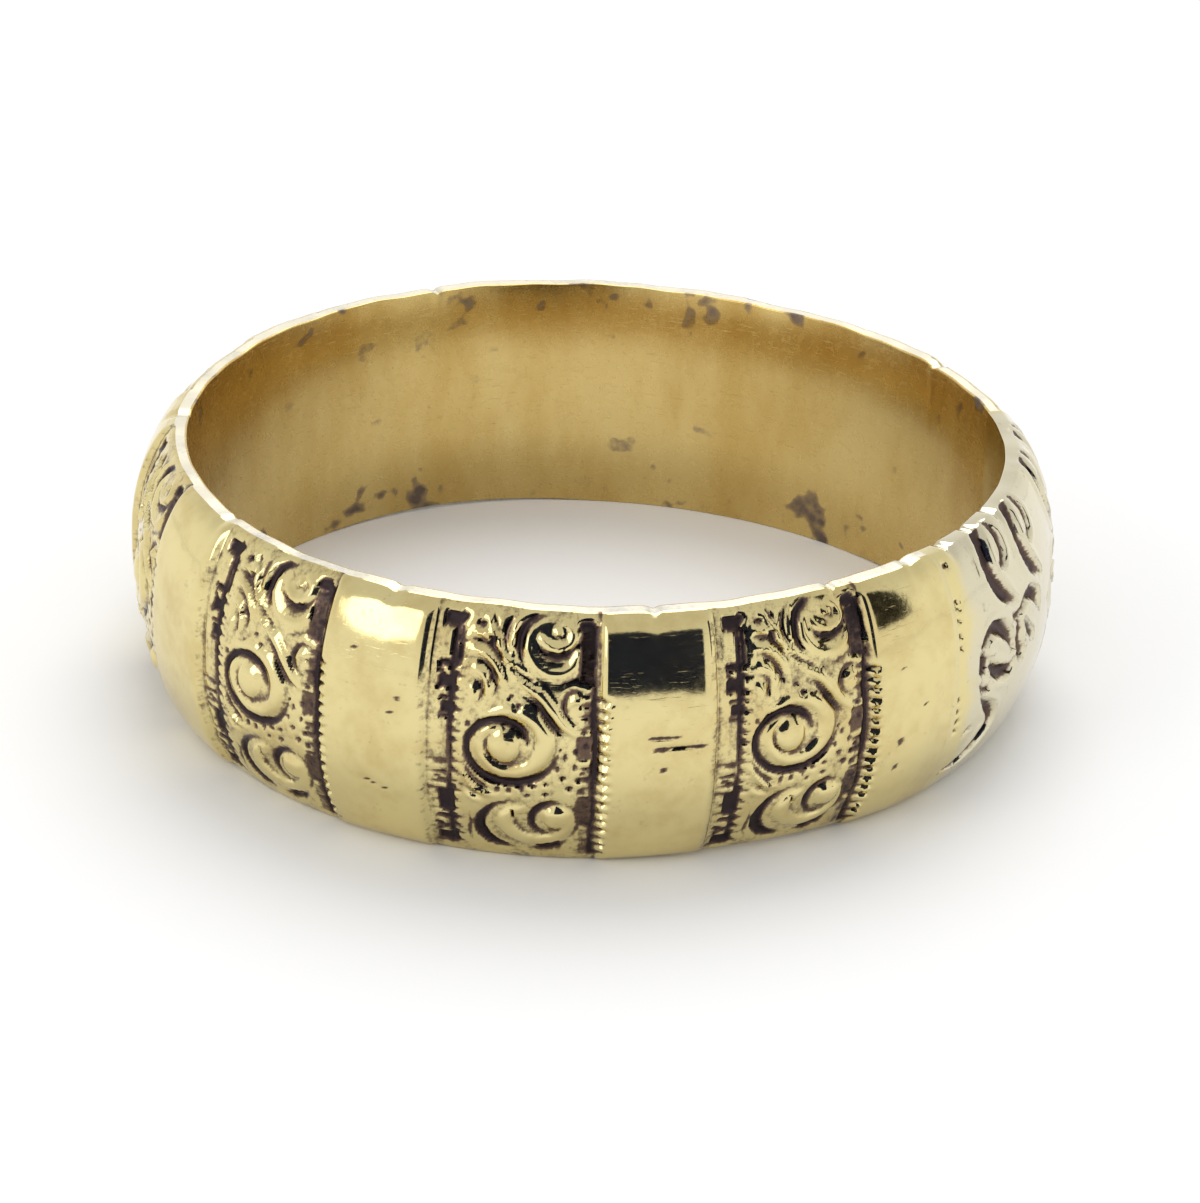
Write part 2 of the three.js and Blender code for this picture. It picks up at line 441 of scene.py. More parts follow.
# Borders of the struck panel
LEFT_LINE = 0.58
RIGHT_LINE = 3.62
TICKS = 23
TICK_PITCH = (BAND_WIDTH - 0.35) / TICKS
LOWEST_TICK = 0.3
LEFT_COMB_TOP = 2.6
RIGHT_COMB_TOP = 4.15


def border_ticks():
    """Tapering nicks along the border lines, as even as a hand makes them.

    The outer ones stop short of the upper rim, where the band is rubbed smooth.
    Each nick's points are (from the line, y, width, level).
    """
    strokes = []
    for i in range(TICKS):
        y = LOWEST_TICK + TICK_PITCH * i
        lean = 0.05 * math.sin(2.3 * i)
        bold = 0.12 + 0.04 * math.sin(4.1 * i + 1)
        left_outer = [(-0.06, y, bold, -0.06), (-0.44, y + lean, 0.06, -0.05)]
        left_inner = [(0.04, y + 0.09, bold, -0.06), (0.28, y + lean, 0.05, -0.05)]
        right_outer = [(0.0, y, 0.17, -0.06), (0.18, y + lean / 3, 0.13, 0.02),
                       (0.36, y + lean / 2, 0.04, 0.095)]
        right_inner = [(-0.08, y + 0.1, bold, -0.06), (-0.36, y + 0.1 + lean, 0.06, -0.05)]
        for line, nick, top in (
            (LEFT_LINE, left_outer, LEFT_COMB_TOP),
            (LEFT_LINE, left_inner, BAND_WIDTH),
            (RIGHT_LINE, right_outer, RIGHT_COMB_TOP),
            (RIGHT_LINE, right_inner, BAND_WIDTH),
        ):
            if y < top:
                strokes.append([(line + off, *rest) for off, *rest in nick])
    return strokes


BORDER_LINES = [
    [(LEFT_LINE, 0.25, 0.12), (LEFT_LINE - 0.02, 1.6, 0.15), (LEFT_LINE + 0.01, 2.3, 0.1),
     (LEFT_LINE, 2.9, 0.13), (LEFT_LINE - 0.02, 4.2, 0.15), (LEFT_LINE, 5.55, 0.12)],
    [(RIGHT_LINE - 0.02, 0.22, 0.16), (RIGHT_LINE - 0.04, 1.0, 0.1), (RIGHT_LINE, 1.4, 0.16),
     (RIGHT_LINE - 0.02, 1.9, 0.12), (RIGHT_LINE, 2.5, 0.2), (RIGHT_LINE + 0.01, 3.1, 0.16),
     (RIGHT_LINE - 0.04, 3.7, 0.2), (RIGHT_LINE - 0.02, 4.3, 0.12), (RIGHT_LINE, 4.7, 0.06),
     (RIGHT_LINE - 0.03, 5.2, 0.14), (RIGHT_LINE - 0.04, 5.55, 0.2)],
]
BORDER_HATCH = [
    # the outline of a small frame near the top, then crossed cuts
    [(0.28, 5.36, 0.08), (0.68, 5.38, 0.1)], [(0.28, 4.62, 0.1), (0.68, 4.60, 0.1)],
    [(0.29, 4.62, 0.08), (0.27, 5.0, 0.06), (0.29, 5.36, 0.1)],
    [(0.68, 4.62, 0.1), (0.70, 5.0, 0.08), (0.68, 5.36, 0.08)],
    [(0.26, 4.50, 0.06), (0.68, 4.06, 0.1)], [(0.26, 4.08, 0.08), (0.68, 4.46, 0.06)],
    [(0.30, 3.90, 0.08), (0.66, 3.92, 0.06)], [(0.30, 3.52, 0.06), (0.68, 3.48, 0.08)],
    [(0.24, 2.10, 0.05), (0.70, 1.84, 0.08)], [(0.26, 1.06, 0.08), (0.72, 1.02, 0.08)],
    [(0.20, 0.84, 0.08), (0.68, 0.62, 0.08)], [(0.24, 0.64, 0.06), (0.70, 0.86, 0.08)],
    [(3.28, 5.36, 0.06), (3.60, 5.30, 0.12)], [(3.28, 4.84, 0.05), (3.62, 4.80, 0.1)],
]
# Sunk lengths under both borders: x, y, width, height, depth of the punch
BORDER_TROUGHS = [
    (0.50, 2.9, 0.40, 5.5, 0.13),
    (3.47, 0.60, 0.36, 0.86, 0.15),
    (3.40, 1.46, 0.32, 0.66, 0.20),
    (3.48, 2.26, 0.26, 0.74, 0.14),
    (3.40, 3.02, 0.36, 0.60, 0.19),
    (3.48, 3.74, 0.28, 0.66, 0.16),
]
BORDER_SQUARES = [
    (0.48, 4.24, 0.40, 0.26, 0.26),
    (0.52, 3.70, 0.30, 0.22, 0.24),
    (0.50, 1.46, 0.34, 0.56, 0.26),
    (0.44, 0.45, 0.44, 0.26, 0.3),
    (0.50, 5.52, 0.5, 0.16, 0.3),
    (3.45, 4.86, 0.40, 0.96, 0.17),
    (3.40, 5.52, 0.36, 0.16, 0.26),
]

# Scrolls cut by hand into the insert: two units side by side
C_SCROLL = [
    [(1.84, 5.90, 0.36), (1.64, 5.64, 0.5), (1.54, 5.24, 0.52), (1.61, 4.84, 0.5),
     (1.84, 4.48, 0.45), (2.16, 4.20, 0.38), (2.54, 4.00, 0.12)],
    [(2.20, 5.84, 0.2), (2.34, 5.46, 0.32), (2.26, 5.10, 0.34), (2.04, 4.90, 0.2)],
]
CURLS = [
    [(0.88, 3.46, 0.14), (1.20, 3.76, 0.2), (1.61, 3.70, 0.22), (1.92, 3.48, 0.2),
     (2.16, 3.20, 0.14), (2.28, 2.92, 0.1)],
    [(1.15, 3.10, 0.08), (1.38, 2.82, 0.18), (1.74, 2.60, 0.22), (2.07, 2.53, 0.2),
     (2.36, 2.66, 0.12)],
    [(0.86, 3.46, 0.14), (0.94, 3.12, 0.28), (1.08, 2.86, 0.22), (1.22, 2.70, 0.08)],
    [(0.87, 2.71, 0.06), (0.99, 2.47, 0.10), (1.22, 2.44, 0.14), (1.38, 2.60, 0.08)],
    [(0.96, 2.32, 0.06), (1.22, 2.03, 0.14), (1.48, 1.79, 0.20), (1.55, 1.50, 0.24),
     (1.32, 1.16, 0.24), (1.02, 0.92, 0.20), (0.63, 0.73, 0.14), (0.11, 0.65, 0.04)],
    [(2.20, 3.80, 0.06), (2.46, 3.67, 0.16), (2.66, 3.72, 0.14), (2.99, 3.90, 0.16),
     (3.31, 3.87, 0.22), (3.70, 3.60, 0.20), (3.97, 3.20, 0.05)],
    [(2.53, 3.58, 0.16), (2.59, 3.19, 0.24), (2.66, 2.80, 0.22), (2.86, 2.66, 0.22),
     (3.10, 2.66, 0.06)],
    [(2.85, 3.48, 0.05), (3.10, 3.14, 0.12), (3.40, 2.85, 0.14), (3.64, 2.66, 0.05)],
    [(0.47, 1.52, 0.04), (0.66, 1.64, 0.08), (0.86, 1.57, 0.03)],
]
SECOND_C = 1.7
INSERT_UNIT = 4.45
CURL_BOLDNESS = 2.0
# The metal thrown up on both sides of a cut: its reach in cuts, and its height
BURR_REACH = 2.0
BURR_SHARE = 0.12
# How far gold was dragged over the insert, and what is left there of a border
DRAGGED_REACH = 0.75
LEFTOVER_TICKS = [5.52, 4.78, 4.62, 4.38, 4.04, 3.76, 2.56, 2.26, 2.02, 1.78]


# ------------------------------------------------------------- striking it

def rim_fade(y):
    """How much of the relief is left near the rims, where the band is worn smooth."""
    share = np.abs(2 * y / BAND_WIDTH - 1)
    return 1 - RIM_RUB * share**RIM_RUB_POWER


def running_mean(heights, reach, axis):
    """Mean height over a window of reach cells each way."""
    pad = [(0, 0), (0, 0)]
    pad[axis] = (reach, reach)
    padded = np.pad(heights, pad, mode="edge")
    total = sum(np.roll(padded, shift, axis) for shift in range(-reach, reach + 1))
    keep = [slice(None), slice(None)]
    keep[axis] = slice(reach, -reach)
    return total[tuple(keep)] / (2 * reach + 1)


def record_tarnish(plate, columns, level, depth):
    """Writes how sunk each point lies, where tarnish stays, then rubs the rims smooth.

    level is that of the clean metal, and depth how deep a wholly covered point lies.
    """
    points = points_of(plate)
    order = np.lexsort((points[:, 0].round(4), points[:, 1].round(4)))
    heights = points[order, 2].reshape(ROWS + 1, columns + 1)
    around = heights
    for _ in range(2):
        around = running_mean(running_mean(around, 3, 0), 3, 1)
    hollow = np.clip((around - heights) / (0.7 * depth), 0, 1)
    sunk = np.clip((level - CLEAN_DEPTH - heights) / depth, 0, 1)
    proud = np.clip((heights - around) / PROUD_HEIGHT, 0, 1)
    written = np.empty(len(points))
    written[order] = np.clip(np.maximum(0.8 * hollow, sunk) - 0.3 * proud, 0, 1).ravel()
    write_values(plate, "tarnish", written)
    points[:, 2] *= rim_fade(points[:, 1])
    move_points(plate, points)


def match_ends(repeat):
    """Gives the sheet's two ends the same heights, so that copies join without a step."""
    points = points_of(repeat)
    first = np.flatnonzero(points[:, 0] < HAIR)
    last = np.flatnonzero(points[:, 0] > REPEAT_LENGTH - HAIR)
    first = first[np.argsort(points[first, 1])]
    last = last[np.argsort(points[last, 1])]
    points[first, 1:] = points[last, 1:]
    move_points(repeat, points)


def struck_repeat():
    """One scroll panel and one plain panel, as a flat sheet."""
    struck = flat_plate("struck_panel", 0, STRUCK_LENGTH, STRUCK_COLUMNS, FIELD_LEVEL)
    plain_length = REPEAT_LENGTH - STRUCK_LENGTH
    plain = flat_plate("plain_panel", STRUCK_LENGTH, plain_length, PLAIN_COLUMNS, FIELD_LEVEL)
    pillow_length = REPEAT_LENGTH - SCROLL_LENGTH
    pillow_middle = SCROLL_LENGTH + pillow_length / 2
    pillows = [
        (x, BAND_WIDTH / 2, pillow_length + 0.1, BAND_WIDTH + 2, 2 * PILLOW_RISE + 0.2)
        for x in (pillow_middle, pillow_middle - REPEAT_LENGTH)
    ]
    raising = [
        lifted(square_punches("pillow_punch", pillows, PILLOW_BEVEL), PILLOW_LEVEL),
        lifted(drawn_tool("ribbon_punch", RIBBONS, RIBBON_FULLNESS), FIELD_LEVEL),
        lifted(drawn_tool("leaf_punch", LEAF_RIDGES, LEAF_FULLNESS), FIELD_LEVEL),
        lifted(drawn_tool("stem_punch", STEMS, STEM_FULLNESS), FIELD_LEVEL),
        lifted(round_punches("eye_punch", EYES), FIELD_LEVEL),
    ]
    pits = [(*pit, PIT_DEPTH) for pit in GROUND_PITS]
    cutting = [
        lifted(square_punches("trough_punch", BORDER_TROUGHS, 0.06), TROUGH_LEVEL),
        lifted(square_punches("square_punch", BORDER_SQUARES, 0.05), SQUARE_LEVEL),
        lifted(graver("hatch_graver", bolder(BORDER_HATCH, HATCH_BOLDNESS)), HATCH_LEVEL),
        lifted(graver("scroll_graver", SCROLL_CUTS), SCROLL_CUT_LEVEL),
        lifted(round_punches("pit_punch", pits), PIT_LEVEL),
        lifted(graver("tick_graver", border_ticks()), TICK_LEVEL),
        lifted(graver("line_graver", BORDER_LINES), LINE_LEVEL),
    ]
    for plate in (struck, plain):
        for tool in raising:
            strike(plate, tool, True)
    for tool in cutting:
        strike(struck, tool, False)
    soften_heights(struck, 2)
    record_tarnish(struck, STRUCK_COLUMNS, 0, SKIN_TARNISH_DEPTH)
    record_tarnish(plain, PLAIN_COLUMNS, 0, SKIN_TARNISH_DEPTH)
    scrap(raising + cutting)
    repeat = join([struck, plain], "repeat")
    match_ends(repeat)
    return repeat


def along(bearing):
    """Distance along the strip of a bearing round the finger."""
    return (bearing - STRIP_START) % 360 * MM_PER_DEGREE


# Knocks and scratches on the plain panels: bearing and height of both ends, width
WEAR_MARKS = [
    (7.6, 3.32, 11.6, 3.31, 0.07), (8.4, 3.04, 14.2, 3.10, 0.09), (9.4, 2.5, 9.5, 2.7, 0.06),
    (-25.9, 1.72, -23.1, 1.58, 0.07), (-20.4, 2.1, -20.1, 2.12, 0.07),
    (-21.3, 2.6, -21.1, 2.62, 0.09), (-22.6, 3.4, -21.1, 4.1, 0.05),
    (-28.0, 4.6, -26.9, 4.72, 0.06),
    (40.5, 1.5, 40.7, 1.7, 0.06), (40.4, 2.1, 40.6, 2.3, 0.06), (40.5, 3.9, 40.7, 3.95, 0.06),
    (40.3, 4.4, 40.6, 4.42, 0.06), (44.0, 2.9, 46.2, 2.86, 0.05),
    (112.0, 3.9, 115.5, 3.6, 0.07), (147.5, 2.0, 149.0, 2.4, 0.06),
    (181.0, 4.2, 184.0, 4.25, 0.06), (216.0, 2.6, 219.4, 2.3, 0.07),
    (250.5, 3.6, 252.0, 3.65, 0.06), (285.0, 1.9, 288.0, 2.1, 0.06),
]


# The strip's ends were filed clean for soldering, and flush with the insert
END_REACH = 0.2
FILED_REACH = 1.1


def file_ends(strip):
    """Brings the strip's two ends down to the insert's height in a long slope."""
    points = points_of(strip)
    x = points[:, 0]
    near = 1 - np.clip(np.minimum(x, x.max() - x) / FILED_REACH, 0, 1)
    slope = near * near * (3 - 2 * near)
    points[:, 2] -= slope * np.clip(points[:, 2] - INSERT_RISE * rim_fade(points[:, 1]), 0, None)
    move_points(strip, points)


def mark_wear(strip):
    """Cuts the few knocks into the finished strip; dirt stays in them too."""
    x, _, before = points_of(strip).T
    strokes = [
        [(along(start), low, width), (along(end), high, 0.6 * width)]
        for start, low, end, high, width in WEAR_MARKS
    ]
    marks = lifted(graver("wear_graver", strokes), PILLOW_RISE)
    strike(strip, marks, False)
    scrap([marks])
    cut = before - points_of(strip)[:, 2]
    held = values_of(strip, "tarnish")
    held[(x < END_REACH) | (x > x.max() - END_REACH)] = 0
    write_values(strip, "tarnish", np.maximum(held, np.clip(cut / SCRATCH_DEPTH, 0, SCRATCH_DIRT)))


def struck_strip():
    first = struck_repeat()
    repeats = [first]
    for i in range(1, REPEATS):
        repeats.append(copy_of(first, (REPEAT_LENGTH * i, 0, 0)))
    strip = join(repeats, "gold_skin")
    file_ends(strip)
    mark_wear(strip)
    return strip


def cut_insert():
    """The insert's outside, filed smooth and cut by hand."""
    sheet = flat_plate("insert_sheet", 0, INSERT_LENGTH, INSERT_COLUMNS, INSERT_RISE)
    strokes = C_SCROLL + shifted(C_SCROLL, SECOND_C) + bolder(CURLS, CURL_BOLDNESS)
    strokes = strokes + shifted(strokes, INSERT_UNIT)
    burrs = drawn_tool("burr_punch", bolder(strokes, BURR_REACH), BURR_SHARE)
    lifted(burrs, INSERT_RISE)
    cuts = lifted(graver("insert_graver", strokes), INSERT_RISE)
    ticks = round_punches("leftover_punch", [
        (0.08 + 0.03 * math.sin(7 * y), y, 0.09, 0.06, 0.1) for y in LEFTOVER_TICKS
    ])
    lifted(ticks, INSERT_RISE)
    strike(sheet, burrs, True)
    strike(sheet, cuts, False)
    strike(sheet, ticks, False)
    soften_heights(sheet, 2)
    record_tarnish(sheet, INSERT_COLUMNS, INSERT_RISE, INSERT_TARNISH_DEPTH)
    scrap((burrs, cuts, ticks))
    write_values(sheet, "dragged", np.clip(1 - points_of(sheet)[:, 0] / DRAGGED_REACH, 0, 1))
    return sheet


# --------------------------------------------------- doming, walls, rolling

def merge(piece, gap):
    pick(piece)
    bpy.ops.object.mode_set(mode="EDIT")
    bpy.ops.mesh.select_all(action="SELECT")
    bpy.ops.mesh.remove_doubles(threshold=gap)
    bpy.ops.object.mode_set(mode="OBJECT")


def dome_height(y):
    """Height of the plain dome above the bore, with its rims worn round."""
    share = np.abs(2 * y / BAND_WIDTH - 1)
    from_rim = (1 - share) * BAND_WIDTH / 2
    raised = RIM_WALL + CROWN_RISE * (1 - share**DOME_EXPONENT)
    return raised - RIM_WEAR * np.exp(-((from_rim / RIM_WEAR_REACH) ** 2))


def dome(piece):
    """Raises the middle of the flat work to the crown."""
    points = points_of(piece)
    points[:, 2] += dome_height(points[:, 1])
    move_points(piece, points)


def out_of_round(bearing):
    return -OVAL_DEPTH * np.cos(2 * bearing) - THREE_LOBE_DEPTH * np.sin(3 * bearing)


def band_point(bearing, radius, height):
    reach = radius + out_of_round(bearing)
    return np.stack([reach * np.sin(bearing), -reach * np.cos(bearing), height], axis=1)


def centring():
    """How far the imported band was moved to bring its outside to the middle, in mm."""
    bearing = np.radians(np.linspace(STRIP_START, FIRST_JOINT - JOINT_ANGLE / 2 + 360, 2000))
    bore = band_point(bearing, FINGER_RADIUS + INNER_SKIN, np.zeros_like(bearing))
    low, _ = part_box("inner_gold_skin")
    return np.array([low[0] / MM - bore[:, 0].min(), low[1] / MM - bore[:, 1].min(), 0])


def rim_wave(bearing, phase):
    """How far a rim is worn or knocked down at a bearing, in mm: never below nought."""
    slow = 0.5 + 0.22 * np.sin(3 * bearing + phase) + 0.16 * np.sin(7 * bearing + 2 * phase)
    quick = 0.16 * np.sin(19 * bearing + 3 * phase) + 0.12 * np.sin(43 * bearing + phase)
    wave = RIM_WAVE * np.clip(slow + quick, 0, 1)
    for nick in RIM_NICKS:
        off = (bearing - math.radians(nick) + math.pi) % (2 * math.pi) - math.pi
        wave = wave + NICK_DEPTH * np.exp(-((off / NICK_REACH) ** 2))
    return wave


def roll(piece, start):
    """Bends a flat piece round the finger from its starting bearing, into metres."""
    points = points_of(piece)
    bearing = np.radians(start + points[:, 0] / MM_PER_DEGREE)
    share = 2 * points[:, 1] / BAND_WIDTH - 1
    upper = rim_wave(bearing, RIM_WAVE_PHASE) * np.clip(share, 0, 1) ** RIM_WAVE_POWER
    lower = RIM_WAVE * np.clip(np.sin(4 * bearing), 0, 1)
    lower = lower * np.clip(-share, 0, 1) ** RIM_WAVE_POWER
    height = points[:, 1] - upper + lower
    rolled = band_point(bearing, FINGER_RADIUS + points[:, 2], height)
    move_points(piece, (rolled + CENTRING) * MM)


CENTRING = centring()


def select_faces(piece, chosen):
    mesh = piece.data
    mesh.vertices.foreach_set("select", [False] * len(mesh.vertices))
    mesh.edges.foreach_set("select", [False] * len(mesh.edges))
    mesh.polygons.foreach_set("select", chosen)
    bpy.context.tool_settings.mesh_select_mode = (False, False, True)


def close_under(piece, rim_steps, rows=(), heights=()):
    """Gives a sheet its thickness: both rims are turned down and joined below.

    rim_steps holds, from the face downwards, how each edge row's height is made
    from the one above it, and how far that row is set in from the rim's plane.
    rows and heights place the rows of points across the underside.
    """
    pick(piece)
    points = points_of(piece)
    rim = (points[:, 1] < HAIR) | (points[:, 1] > BAND_WIDTH - HAIR)
    for height_of, inset in rim_steps:
        select_points(piece, rim)
        count = len(rim)
        bpy.context.tool_settings.mesh_select_mode = (False, True, False)
        bpy.ops.object.mode_set(mode="EDIT")
        bpy.ops.mesh.extrude_region_move()
        bpy.ops.object.mode_set(mode="OBJECT")
        points = points_of(piece)
        rim = np.arange(len(points)) >= count
        near = points[:, 1] < BAND_WIDTH / 2
        points[rim, 2] = height_of(points[rim, 2])
        points[rim, 1] = np.where(near, inset, BAND_WIDTH - inset)[rim]
        move_points(piece, points)
    select_points(piece, rim)
    count = len(rim)
    cuts = len(rows) or 2
    bpy.ops.object.mode_set(mode="EDIT")
    bpy.ops.mesh.bridge_edge_loops(number_cuts=cuts, interpolation="LINEAR")
    bpy.ops.mesh.select_all(action="SELECT")
    bpy.ops.mesh.fill_holes(sides=0)
    bpy.ops.mesh.normals_make_consistent(inside=False)
    bpy.ops.object.mode_set(mode="OBJECT")
    if rows:
        points = points_of(piece)
        row = np.rint(points[count:, 1] / BAND_WIDTH * (cuts + 1)).astype(int)
        row = np.clip(row, 1, cuts) - 1
        points[count:, 1] = np.array(rows)[row]
        points[count:, 2] = np.array(heights)[row]
        move_points(piece, points)
    return piece


def layer_below(piece, name):
    """The next layer's top: a copy of the faces that look towards the finger."""
    layer = copy_of(piece, (0, 0, 0))
    layer.name = name
    select_faces(layer, [face.normal.z > FACES_DOWN for face in layer.data.polygons])
    bpy.ops.object.mode_set(mode="EDIT")
    bpy.ops.mesh.delete(type="FACE")
    bpy.ops.mesh.select_all(action="SELECT")
    bpy.ops.mesh.flip_normals()
    bpy.ops.object.mode_set(mode="OBJECT")
    return layer


def soften_outer_edge(piece, count):
    """Sets the face's own edge rows in from the rims' planes, as wear rounds them."""
    points = points_of(piece)
    points[:count, 1] = np.clip(points[:count, 1], EDGE_INSET, BAND_WIDTH - EDGE_INSET)
    move_points(piece, points)


def clean_below(piece, count):
    """Takes the tarnish of the face's cuts off the walls and the bore below them."""
    held = values_of(piece, "tarnish")
    held[count:] = 0
    write_values(piece, "tarnish", held)


def solder_sheet(name):
    """A joint's outer face: a thin line of solder, a little sunk."""
    sheet = flat_plate(name, 0, JOINT_LENGTH, SOLDER_COLUMNS, SOLDER_LEVEL)
    points = points_of(sheet)
    points[:, 2] -= SOLDER_SAG * np.sin(np.pi * points[:, 0] / JOINT_LENGTH)
    points[:, 2] *= rim_fade(points[:, 1])
    move_points(sheet, points)
    return sheet


def finish_piece(piece, name, node, start):
    """Rolls a flat piece round, gives it its name and hides the part it replaces."""
    roll(piece, start)
    pick(piece)
    bpy.ops.object.shade_smooth_by_angle(angle=math.radians(SMOOTH_ANGLE))
    piece.name = name
    piece.data.name = name
    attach(piece, "root")
    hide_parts(node)


EDGE_INSET = 0.03
OUTER_EDGE = [(lambda z: z - 0.022, 0.009), (lambda z: z - 0.058, 0.0)]
BORE_EDGE = [
    (lambda z: 0 * z + 0.035, 0.0), (lambda z: 0 * z + 0.01, 0.01), (lambda z: 0 * z, 0.035),
]
CORE_WALL = [(lambda z: 0 * z + INNER_SKIN, 0.0)]
UNDER_ROWS = (0.15, 0.6, 1.6, 4.2, 5.2, 5.65)
UNDER_DROPS = (0.2, 0.27, 0.27, 0.27, 0.27, 0.2)
UNDER_HEIGHTS = [float(dome_height(y)) - drop for y, drop in zip(UNDER_ROWS, UNDER_DROPS)]
JOINT_LENGTH = JOINT_ANGLE * MM_PER_DEGREE
SOLDER_LEVEL = INSERT_RISE
SOLDER_SAG = 0.003

skin = struck_strip()
merge(skin, HAIR)
dome(skin)
face_points = len(skin.data.vertices)
close_under(skin, OUTER_EDGE, UNDER_ROWS, UNDER_HEIGHTS)
soften_outer_edge(skin, face_points)
core = close_under(layer_below(skin, "core"), CORE_WALL)
lining = close_under(layer_below(core, "lining"), BORE_EDGE)
finish_piece(skin, "gold_skin", "outer_gold_skin", STRIP_START)
finish_piece(core, "core", "base_metal_core", STRIP_START)
finish_piece(lining, "lining", "inner_gold_skin", STRIP_START)

insert = cut_insert()
joints = [solder_sheet("solder_line"), solder_sheet("solder_line")]
for sheet in (insert, *joints):
    dome(sheet)
    face_points = len(sheet.data.vertices)
    close_under(sheet, OUTER_EDGE + BORE_EDGE)
    soften_outer_edge(sheet, face_points)
    if sheet is insert:
        clean_below(sheet, face_points)
finish_piece(insert, "insert", "sizing_insert", INSERT_START)
for joint, node, start in (
    (joints[0], "first_solder_joint", INSERT_START - JOINT_ANGLE),
    (joints[1], "second_solder_joint", INSERT_START + INSERT_ANGLE),
):
    finish_piece(joint, node.replace("joint", "line"), node, start)


# ------------------------------------------------------------------ looks

def node_group(name, inputs, outputs):
    group = bpy.data.node_groups.new(name, "ShaderNodeTree")
    for label, kind in inputs:
        group.interface.new_socket(label, in_out="INPUT", socket_type=f"NodeSocket{kind}")
    for label, kind in outputs:
        group.interface.new_socket(label, in_out="OUTPUT", socket_type=f"NodeSocket{kind}")
    return group, group.nodes.new("NodeGroupInput"), group.nodes.new("NodeGroupOutput")


def add(tree, kind, links=(), **settings):
    """Adds a node; links are (socket, value or output), settings its properties."""
    node = tree.nodes.new("ShaderNode" + kind)
    for label, value in settings.items():
        setattr(node, label, value)
    for socket, value in links:
        if isinstance(value, bpy.types.NodeSocket):
            tree.links.new(value, node.inputs[socket])
        else:
            node.inputs[socket].default_value = value
    return node


def maths(tree, operation, first, second=0.0):
    node = add(tree, "Math", [(0, first), (1, second)], operation=operation)
    return node.outputs[0]


def weighed(tree, *parts):
    """The sum of two values, each given with its weight."""
    first, second = [maths(tree, "MULTIPLY", value, weight) for value, weight in parts]
    return maths(tree, "ADD", first, second)


def remap(tree, value, low, high, to_low=0.0, to_high=1.0):
    """The value's share of the way from low to high, as a soft step."""
    node = add(
        tree, "MapRange",
        [("Value", value), ("From Min", low), ("From Max", high),
         ("To Min", to_low), ("To Max", to_high)],
        interpolation_type="SMOOTHSTEP",
    )
    return node.outputs["Result"]


def noise(tree, place, scale, detail=3.0, roughness=0.55):
    node = add(
        tree, "TexNoise",
        [("Vector", place), ("Scale", scale), ("Detail", detail), ("Roughness", roughness)],
    )
    return node.outputs["Fac"]


def blend_colours(tree, share, first, second):
    node = add(tree, "Mix", [(0, share), (6, first), (7, second)], data_type="RGBA")
    return node.outputs[2]


def tarnish_group():
    """Clean metal going brown, then black, where it is sunk and out of the hand's way."""
    group, into, out = node_group(
        "tarnish",
        [("Clean", "Color"), ("Warm", "Color"), ("Black", "Color"), ("Sunk", "Float"),
         ("Place", "Vector"), ("Grain", "Float")],
        [("Colour", "Color"), ("Cover", "Float")],
    )
    grain = into.outputs["Grain"]
    place = into.outputs["Place"]
    patchy = noise(group, place, maths(group, "MULTIPLY", grain, 0.22), 2.0)
    fine = noise(group, place, grain, 4.0, 0.65)
    wobble = weighed(group, (fine, 0.75), (patchy, 0.55))
    pushed = maths(group, "SUBTRACT", maths(group, "ADD", into.outputs["Sunk"], wobble), 0.65)
    warm = remap(group, pushed, 0.1, 0.5)
    black = remap(group, pushed, 0.44, 0.92)
    browned = blend_colours(group, warm, into.outputs["Clean"], into.outputs["Warm"])
    colour = blend_colours(group, black, browned, into.outputs["Black"])
    group.links.new(colour, out.inputs["Colour"])
    group.links.new(black, out.inputs["Cover"])
    return group


def wear_group():
    """Fine scratches and a slow unevenness, as a height and as extra roughness."""
    group, into, out = node_group(
        "wear",
        [("Place", "Vector"), ("Grain", "Float")],
        [("Height", "Float"), ("Scuff", "Float")],
    )
    grain = into.outputs["Grain"]
    place = into.outputs["Place"]
    slow = noise(group, place, maths(group, "MULTIPLY", grain, 0.12), 1.0, 0.4)
    fine = noise(group, place, grain, 5.0, 0.6)
    bent = add(group, "VectorMath", [(0, place), (1, (1, 1, 14))], operation="MULTIPLY")
    lines = noise(group, bent.outputs[0], maths(group, "MULTIPLY", grain, 0.35), 3.0, 0.7)
    scratches = remap(group, lines, 0.6, 0.75)
    mixed = weighed(group, (slow, 3.4), (fine, 0.22))
    height = maths(group, "SUBTRACT", mixed, maths(group, "MULTIPLY", scratches, 0.1))
    scuff = weighed(group, (fine, 0.6), (scratches, 0.5))
    group.links.new(height, out.inputs["Height"])
    group.links.new(scuff, out.inputs["Scuff"])
    return group


TARNISH = tarnish_group()
WEAR = wear_group()
WEAR_GRAIN = 5000.0
WEAR_DEPTH = 0.008
TARNISHED_ROUGHNESS = 0.35


